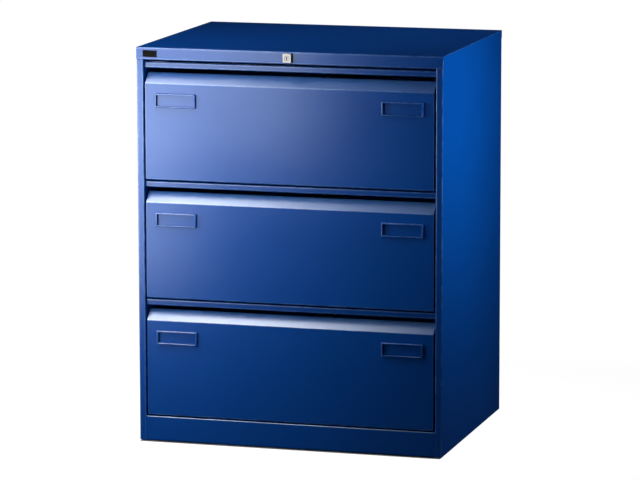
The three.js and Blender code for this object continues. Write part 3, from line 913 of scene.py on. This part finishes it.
@dataclass
class SlideBalls:
    """A row of balls in a thin cage, in the gap between two slide members."""

    radius: float
    count: int = 9
    pitch: float = 14 * MM
    cage: Sheet = field(default_factory=lambda: Sheet(gauge=0.6 * MM, rim=0.2 * MM))
    cage_width: float = 4.5 * MM
    rings: int = 7
    sides: int = 10

    def shape(self, x: float, y: float, z: float) -> Surface:
        """Balls as latitude and longitude grids one pitch apart, on a flat strip.

        Args:
            x: middle of the row across the cabinet.
            y: front end of the row.
            z: middle of the gap.

        Returns:
            The row, in place.
        """
        polar = np.linspace(0, math.pi, self.rings)[:, None]
        around = np.linspace(0, 2 * math.pi, self.sides, endpoint=False)[None]
        across = np.sin(polar)
        sideways = [across * np.cos(around), across * np.sin(around)]
        ball = np.stack([*sideways, np.cos(polar) + 0 * around], -1).reshape(-1, 3)
        start = np.array([x, y + self.pitch / 2, z])
        step = np.arange(self.count)[:, None, None] * np.array([0, self.pitch, 0])
        points = (start + step + self.radius * ball).reshape(-1, 3)
        each = np.arange(self.count)[:, None, None] * len(ball)
        quads = (grid_quads(self.rings, self.sides, False, True) + each).reshape(-1, 4)
        balls = Surface(points, quads, np.ones(len(points)), np.zeros(len(points)))
        half = self.cage.gauge / 2
        strip = [(x + self.cage_width / 2, z + half), (x - self.cage_width / 2, z + half)]
        return balls + self.cage.strip(strip, y, y + self.count * self.pitch, Run.BACK)


@dataclass
class Rivet:
    """Low domed rivet head on the inside of a drawer's wall."""

    radius: float = 4 * MM
    height: float = 1.6 * MM
    rings: int = 6
    sides: int = 16

    def shape(self, x: float, y: float, z: float) -> Surface:
        """A dome, height times the cosine of the way out, with its base on the wall, facing inwards.

        Args:
            x: inner face of the drawer's right wall.
            y: the rivet's place from front to back.
            z: its height.

        Returns:
            The head, in place.
        """
        out = np.linspace(0, math.pi / 2, self.rings)
        reach = np.concatenate([self.radius * np.sin(out), [0]])
        rise = np.concatenate([self.height * np.cos(out), [0]])
        rings = np.stack([rounded_ring(2 * r, 2 * r, r, self.sides // 4) for r in reach])
        dome = ringed(rings, rise, np.ones(len(reach)), False)
        inward = dome.points[:, [1, 0, 2]] * np.array([-1, 1, 1])
        return Surface(inward, dome.quads, dome.wear, dome.lip).moved(x, y, z)


@dataclass
class Drawer:
    """One drawer: its folded front, label holders, tray and slides."""

    level: Level
    sheet: Sheet = field(default_factory=Sheet)
    holder: LabelHolder = field(default_factory=LabelHolder)
    face_height: float = 246.5 * MM
    lip_slope: float = 25 * MM
    lip_rise: float = 25 * MM
    lip_roll: float = 12 * MM
    lip_hook: float = 10 * MM
    lip_stretch: int = 3  # the lip's number among the front's stretches, from the hook
    hem: float = 20 * MM
    gap: float = 0.3 * MM
    inner_balls: SlideBalls = field(default_factory=lambda: SlideBalls(1.75 * MM))
    outer_balls: SlideBalls = field(default_factory=lambda: SlideBalls(1.5 * MM))
    ball_inset: float = 15.75 * MM  # from an end of the middle slide member to the balls
    rivet: Rivet = field(default_factory=Rivet)
    rivets: int = 4
    rivet_inset: float = 60 * MM

    @property
    def body(self) -> str:
        """The body that the drawer's pieces ride on."""
        return f"drawer_{self.level.value}"

    def build(self) -> None:
        """Makes the front, the label holders, the balls and the rivets."""
        self._front()
        for hand in Hand:
            name = f"label_holder_{self.level.value}_{hand.word}"
            shown(f"{name}_frame", self.holder.shape(*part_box(name)), PAINT, self.body, name)
            self._ball_rows(hand)
            self._rivets(hand)

    def dress(self) -> None:
        """Gives the nodes that keep their solids their finishes."""
        level = self.level.value
        dressed(PAINT, f"inner_front_{level}", f"drawer_tray_{level}")
        dressed(ZINC, f"file_rail_{level}", f"lock_catch_{level}")
        members = [f"{kind}_slide_{level}_{hand.word}" for kind in ("inner", "middle") for hand in Hand]
        dressed(ZINC, *members)

    def _front(self) -> None:
        """Hook, finger lip, face and hem, carried across, with a cheek inside each end."""
        name = f"drawer_front_{self.level.value}"
        low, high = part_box(name)
        top = low.z + self.face_height
        peak = top + self.lip_rise
        path = [
            (high.y, peak - self.lip_hook),
            (high.y, peak),
            (low.y + self.lip_slope, peak, self.lip_roll),
            (low.y, top),
            (low.y, low.z),
            (low.y + self.hem, low.z),
        ]
        shape = self.sheet.strip(path, low.x, high.x, Run.ACROSS, self.lip_stretch)
        cheek = self._cheek(low, top)
        for hand in Hand:
            shape += cheek.moved(x=high.x - self.gap).mirrored(hand)
        shown(f"{name}_sheet", shape, PAINT, self.body, name)

    def _cheek(self, low: Vector, top: float) -> Surface:
        """End plate that closes the front, its edge inside the face, the lip and the hem.

        Two rings of five corners a gauge apart, each closed by its middle point.

        Args:
            low: lowest corner of the front's box.
            top: height of the fold between face and lip.

        Returns:
            The closed plate, with its outer side at X = 0.
        """
        inset, bend = self.sheet.gauge / 2, self.sheet.bend
        steep = self.lip_rise / self.lip_slope
        lap = inset * math.hypot(1, steep)
        reach = self.hem - self.gap
        outline = np.array(
            [
                (low.y + inset, low.z + bend),
                (low.y + reach, low.z + inset),
                (low.y + reach, top + steep * reach - lap),
                (low.y + bend, top + steep * bend - lap),
                (low.y + inset, top - bend),
            ]
        )
        point = np.broadcast_to(outline.mean(0), outline.shape)
        flat = np.stack([point, outline, outline, point])
        x = np.broadcast_to(np.array([0, 0, -1, -1])[:, None] * self.sheet.gauge, flat.shape[:2])
        points = np.concatenate([x[..., None], flat], -1).reshape(-1, 3)
        none = np.zeros(len(points))
        return Surface(points, grid_quads(*flat.shape[:2], False, True), none, none)

    def _ball_rows(self, hand: Hand) -> None:
        """Balls above and below, inside and outside the middle member, which they ride with.

        Args:
            hand: the slide's side.
        """
        level = self.level.value
        boxes = [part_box(f"{kind}_slide_{level}_right") for kind in ("inner", "middle", "outer")]
        inner, middle, outer = boxes
        wall = self.sheet.gauge
        length = self.inner_balls.count * self.inner_balls.pitch
        x_inner = (max(inner[0].x, middle[0].x) + inner[1].x) / 2
        x_outer = (outer[0].x + middle[1].x) / 2
        y_inner = middle[0].y + self.ball_inset
        y_outer = middle[1].y - self.ball_inset - length
        for word, end, inwards in (("top", 1, -wall), ("bottom", 0, wall)):
            z_inner, z_middle, z_outer = (box[end].z for box in boxes)
            rows = self.inner_balls.shape(x_inner, y_inner, (z_middle + inwards + z_inner) / 2)
            rows += self.outer_balls.shape(x_outer, y_outer, (z_outer + inwards + z_middle) / 2)
            name = f"slide_balls_{level}_{hand.word}_{word}"
            shown(name, rows.mirrored(hand), ZINC, f"slides_{level}")

    def _rivets(self, hand: Hand) -> None:
        """Rivet heads inside the tray, in line with the slide.

        Args:
            hand: the tray's side.
        """
        level = self.level.value
        tray_low, tray_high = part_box(f"drawer_tray_{level}")
        slide_low, slide_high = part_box(f"inner_slide_{level}_right")
        x = tray_high.x - self.sheet.gauge
        z = (slide_low.z + slide_high.z) / 2
        places = np.linspace(tray_low.y + self.rivet_inset, tray_high.y - self.rivet_inset, self.rivets)
        heads = [self.rivet.shape(x, y, z) for y in places]
        shape = sum(heads[1:], heads[0]).mirrored(hand)
        shown(f"tray_rivets_{level}_{hand.word}", shape, ZINC, self.body)


@dataclass
class Lock:
    """Square lock body, its turning plug with a keyhole, the bare plate and the hidden lock gear."""

    corner: float = 2.2 * MM
    chamfer: float = 1.6 * MM
    gap: float = 0.3 * MM  # between the lock body and the skirt
    barrel: float = 9.5 * MM
    bore: float = 6.6 * MM
    bore_edge: float = 1.1 * MM
    plug: float = 6.3 * MM
    plug_edge: float = 0.5 * MM
    keyhole: tuple[float, float] = (2.2 * MM, 8 * MM)
    keyhole_corner: float = 0.9 * MM
    keyhole_edge: float = 0.9 * MM
    keyhole_depth: float = 10 * MM
    tail: float = 6 * MM
    tail_corner: float = 0.3 * MM
    plate_corner: float = 1.5 * MM
    plate_narrowing: float = 0.4  # share of a ring's inset that its corner's radius loses
    plate_edge: float = 0.35 * MM
    plate_edge_steps: int = 5
    plate_rim: float = 1.3 * MM
    steps: int = 10

    def build(self) -> None:
        """Makes the lock body, the plug and the plate."""
        self._body()
        self._plug()
        self._plate()

    def dress(self) -> None:
        """Gives the lock gear its finish."""
        dressed(ZINC, "lock_cam", "transfer_bar", "lock_bar")

    def _ring(self, width: float, corner: float, height: float | None = None) -> Array:
        """Ring of the lock's own point count, square unless a height is given."""
        return rounded_ring(width, width if height is None else height, corner, self.steps)

    def _round(self, radius: float) -> Array:
        """Circle of the lock's own point count."""
        return self._ring(2 * radius, radius)

    def _stacked(self, rings: Sequence[tuple[Array, float, float]], closed: bool, about: str) -> Surface:
        """Surface through rings round the middle of a CAD node.

        Args:
            rings: each ring with its place along Y and its wear.
            closed: whether the last ring joins the first.
            about: the node's name.

        Returns:
            The surface, in place.
        """
        outlines, depths, wear = zip(*rings)
        low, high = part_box(about)
        middle = (low + high) / 2
        shape = ringed(np.stack(outlines), np.array(depths), np.array(wear), closed)
        return shape.moved(x=middle.x, z=middle.z)

    def _body(self) -> None:
        """Rings go up the square wall, over the chamfer, to the bore, back and round the barrel."""
        low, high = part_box("lock_housing")
        size = high.x - low.x
        face, rear = low.y, high.y
        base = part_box("top_panel")[0].y - self.gap
        lean = size - 2 * self.chamfer
        rings = [
            (self._ring(size, self.corner), base, 0),
            (self._ring(size, self.corner), face + self.chamfer, 1),
            (self._ring(lean, self.corner), face, 1),
            (self._ring(lean - self.chamfer / 2, self.corner), face, 0),
            (self._round(self.bore + 2 * self.bore_edge), face, 0),
            (self._round(self.bore + self.bore_edge), face, 1),
            (self._round(self.bore), face + self.bore_edge, 1),
            (self._round(self.bore), rear, 0),
            (self._round(self.barrel), rear, 0),
            (self._round(self.barrel), base, 0),
        ]
        shape = self._stacked(rings, True, "lock_housing")
        shown("lock_body", shape, NICKEL, "carcass", "lock_housing")

    def _plug(self) -> None:
        """Rings go from the tail's end over the plug's edge to its face and down the keyhole."""
        low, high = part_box("lock_plug")
        face, end = low.y, high.y
        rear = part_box("lock_housing")[1].y
        (wide, tall), edge = self.keyhole, self.keyhole_edge
        slot = self._ring(wide, self.keyhole_corner, tall)
        mouth = self._ring(wide + 2 * edge, self.keyhole_corner + edge, tall + edge)
        tail = self._ring(self.tail, self.tail_corner)
        point = np.zeros_like(slot)
        rings = [
            (point, end, 0),
            (tail, end, 0),
            (tail, rear, 0),
            (self._round(self.plug), rear, 0),
            (self._round(self.plug), face + self.plug_edge, 1),
            (self._round(self.plug - self.plug_edge), face, 1),
            (self._round(self.plug - 2 * self.plug_edge), face, 0),
            (mouth, face, 1),
            (slot, face + edge, 1),
            (slot, face + self.keyhole_depth, 0),
            (point, face + self.keyhole_depth, 0),
        ]
        shape = self._stacked(rings, False, "lock_housing")
        shown("lock_plug_face", shape, NICKEL, "lock", "lock_plug")

    def _plate(self) -> None:
        """Rings go over the plate's round edge, across its raised rim and in over the bare field."""
        low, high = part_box("badge_plate")
        width, height = high.x - low.x, high.z - low.z
        back, face = high.y, low.y
        edge, rim = self.plate_edge, self.plate_rim
        turn = np.linspace(0, math.pi / 2, self.plate_edge_steps)
        insets = np.concatenate([[0], edge * (1 - np.cos(turn)), [rim, rim + edge]])
        depths = np.concatenate([[back], face + edge * (1 - np.sin(turn)), [face, face + edge]])
        wear = np.concatenate([[0], np.ones(len(turn) + 1), [0]])
        corners = self.plate_corner - self.plate_narrowing * insets
        outlines = [
            self._ring(width - 2 * inset, corner, height - 2 * inset)
            for inset, corner in zip(insets, corners)
        ]
        point = np.zeros_like(outlines[0])
        rings = [(point, back, 0), *zip(outlines, depths, wear), (point, face + edge, 0)]
        shape = self._stacked(rings, False, "badge_plate")
        shown("bare_plate", shape, PLASTIC, "carcass", "badge_plate")


@dataclass(frozen=True)
class Softbox:
    """A soft studio lamp."""

    name: str
    place: Place
    aim: Place
    width: float
    height: float
    power: float
    beam: float = 180.0  # degrees; less than 180 is a gridded box
    gloss: bool = True  # whether gloss shows the lamp

    def build(self) -> None:
        """Adds the lamp, aimed, unseen by the camera."""
        lamp = bpy.data.lights.new(self.name, "AREA")
        lamp.shape = "RECTANGLE"
        lamp.size, lamp.size_y = self.width, self.height
        lamp.energy = self.power
        lamp.spread = math.radians(self.beam)
        made = placed(self.name, lamp)
        place = Vector(self.place)
        made.location = place
        made.rotation_euler = (Vector(self.aim) - place).to_track_quat("-Z", "Y").to_euler()
        made.visible_camera = False
        made.visible_glossy = self.gloss


@dataclass
class Studio:
    """Pale floor, dim walls and the softboxes."""

    floor_size: float = 80.0
    floor_colour: float = 0.20
    floor_seen: float = 1.0  # light that the floor shows the camera besides what falls on it
    floor_near: float = 0.95  # the same, close to the cabinet: a painted dimming, so that its shadow shows
    near_reach: tuple[float, float] = (0.9, 1.8)  # metres from the middle between which it grows
    floor_mirrored: float = 0.004  # the same, for reflections
    floor_dimmed: float = 0.04  # share of its colour that reflections show
    shade_edge: float = 1.5 * MM  # soft edge of the painted shadow below the cabinet
    wall_seen: float = 1.0  # light that the walls show the camera
    wall_rise: tuple[float, float] = (0.15, 0.9)  # slope of the view between which their light grows
    wall_low: float = 0.005  # light from the walls near the horizon
    wall_high: float = 0.08  # light from the ceiling
    lamps: tuple[Softbox, ...] = (
        Softbox("key_low", (-1.00, -1.50, 0.48), (-0.55, -0.30, 0.60), 0.6, 0.6, 1.5, 70.0),
        Softbox("key_high", (-0.70, -1.50, 0.97), (-0.50, -0.30, 0.97), 0.8, 0.8, 3.0, 75.0),
        Softbox("left_strip", (-2.20, -1.30, 0.90), (-0.55, -0.30, 0.60), 0.4, 1.0, 0.9, 34.0),
        Softbox("upright_edge", (-2.20, -1.30, 1.00), (0.37, -0.30, 0.92), 0.3, 0.6, 0.6, 24.0),
        Softbox("overhead_left", (-1.10, -1.15, 2.35), (-0.45, -0.30, 0.60), 0.6, 1.2, 3.0, 47.0),
        Softbox("overhead_right", (-0.80, -0.85, 2.40), (-0.40, -0.30, 0.60), 0.6, 0.6, 0.35, 50.0),
        Softbox("top_front", (-0.70, -1.10, 1.90), (-0.35, -0.25, 0.95), 0.6, 0.6, 0.5, 80.0),
        Softbox("side_front", (1.60, -0.28, 1.02), (0.40, -0.25, 0.93), 0.5, 0.5, 2.8, 60.0, gloss=False),
        Softbox("top_rear", (0.60, 0.90, 2.00), (0.15, 0.05, 1.02), 0.6, 0.6, 1.2, 60.0, gloss=False),
        Softbox("side_rear", (1.50, 0.30, 1.10), (0.40, 0.05, 0.50), 0.6, 0.6, 2.5, 80.0, gloss=False),
        Softbox("open_fronts", (2.20, -1.80, 0.60), (0.00, -0.98, 0.55), 0.4, 1.0, 1.4, 24.0, gloss=False),
        Softbox("left_wall", (-1.90, 0.35, 0.55), (-0.40, 0.05, 0.65), 0.9, 0.9, 3.0, 80.0),
        Softbox("back_wall", (-0.45, 2.10, 0.50), (0.0, 0.30, 0.50), 1.2, 0.8, 4.0, 80.0),
    )

    def build(self) -> None:
        """Adds floor, walls and lamps."""
        self._floor()
        self._walls()
        for lamp in self.lamps:
            lamp.build()

    def _floor(self) -> None:
        """A plane with four corners; what it shows the camera is added to the light that falls on it."""
        half = self.floor_size / 2
        corners = np.array([[-half, -half, 0], [half, -half, 0], [half, half, 0], [-half, half, 0]])
        mesh = bpy.data.meshes.new("studio_floor")
        mesh.from_pydata(corners, [], [[0, 1, 2, 3]])
        made = placed("studio_floor", mesh)
        paper = bpy.data.materials.new("floor_paper")
        paper.use_nodes = True
        tree = Tree(paper.node_tree)
        ray = tree.place("ShaderNodeLightPath").outputs
        dimmed = self.floor_colour * self.floor_dimmed
        colour = tree.spread(ray["Is Glossy Ray"], 0.0, 1.0, self.floor_colour, dimmed)
        matt = tree.place("ShaderNodeBsdfDiffuse", {"Color": colour})
        mirrored = tree.plus(ray["Is Glossy Ray"], ray["Is Transmission Ray"])
        place = tree.place("ShaderNodeTexCoord").outputs["Object"]
        away = tree.place("ShaderNodeVectorMath", {0: place}, operation="LENGTH").outputs["Value"]
        glowing = tree.spread(away, *self.near_reach, self.floor_near, self.floor_seen)
        # Painted shadow: the floor's glow is taken away below the cabinet and dimmed near it
        glow_with_painted_shadow = tree.times(glowing, self._uncovered(tree, place))
        seen = tree.times(ray["Is Camera Ray"], glow_with_painted_shadow)
        strength = tree.plus(seen, tree.times(mirrored, self.floor_mirrored))
        glow = tree.place("ShaderNodeEmission", {"Strength": strength})
        both = tree.place("ShaderNodeAddShader", {0: matt.outputs[0], 1: glow.outputs[0]})
        tree.place("ShaderNodeOutputMaterial", {"Surface": both.outputs[0]})
        mesh.materials.append(paper)

    def _uncovered(self, tree: Tree, place: Socket) -> Socket:
        """How much of its glow the floor keeps: 0 below the cabinet, where this is a painted shadow, 1
        beside it.

        The larger of the two distances past the footprint's sides is mapped over the soft edge.

        Args:
            tree: the floor's shader tree.
            place: the floor's own coordinates.

        Returns:
            The share.
        """
        axes = tree.place("ShaderNodeSeparateXYZ", {0: place}).outputs[:2]
        past = []
        for axis, low, high in zip(axes, *CAD_BOX):
            off = tree.maths("ABSOLUTE", tree.maths("SUBTRACT", axis, (low + high) / 2))
            past.append(tree.maths("SUBTRACT", off, (high - low) / 2))
        return tree.spread(tree.maths("MAXIMUM", *past), -2 * self.shade_edge, -self.shade_edge)

    def _walls(self) -> None:
        """White to the camera; to the object a dim light that grows from the horizon to the ceiling."""
        world = bpy.data.worlds.new("studio_walls")
        world.use_nodes = True
        tree = Tree(world.node_tree)
        way = tree.place("ShaderNodeTexCoord").outputs["Generated"]
        up = tree.place("ShaderNodeSeparateXYZ", {0: way}).outputs["Z"]
        dim = tree.spread(up, *self.wall_rise, self.wall_low, self.wall_high)
        camera = tree.place("ShaderNodeLightPath").outputs["Is Camera Ray"]
        white = tree.times(camera, self.wall_seen)
        strength = tree.maths("MAXIMUM", white, dim)
        sky = tree.place("ShaderNodeBackground", {"Strength": strength})
        tree.place("ShaderNodeOutputWorld", {"Surface": sky.outputs[0]})
        bpy.context.scene.world = world


@dataclass(frozen=True)
class Viewpoint:
    """The camera, far off with a long lens, a little above the cabinet and to its right."""

    lens: float = 214.3  # millimetres, as is the sensor's width
    sensor: float = 36.0
    clip_end: float = 200.0
    place: Place = (2.717, -9.37335, 2.118)
    yaw: float = 16.20  # degrees towards the left
    pitch: float = 9.47  # degrees down
    roll: float = 0.10

    def build(self) -> None:
        """Adds the camera and makes it the scene's own."""
        camera = bpy.data.cameras.new("viewpoint")
        camera.lens = self.lens
        camera.sensor_width = self.sensor
        camera.clip_end = self.clip_end
        made = placed("viewpoint", camera)
        made.location = self.place
        yaw, pitch, roll = (math.radians(a) for a in (self.yaw, self.pitch, self.roll))
        turn = Matrix.Rotation(yaw, 3, "Z") @ Matrix.Rotation(math.pi / 2 - pitch, 3, "X")
        made.rotation_euler = (turn @ Matrix.Rotation(-roll, 3, "Z")).to_euler()
        bpy.context.scene.camera = made


def main() -> None:
    """Builds the studio and the cabinet's looks, and reports each piece."""
    logging.basicConfig(level=logging.INFO, format="%(name)s: %(message)s")
    bpy.context.scene.view_settings.view_transform = "Standard"
    Viewpoint().build()
    Studio().build()
    for part in (Carcass(), *(Drawer(level) for level in Level), Lock()):
        part.build()
        part.dress()


if __name__ == "__main__":
    main()
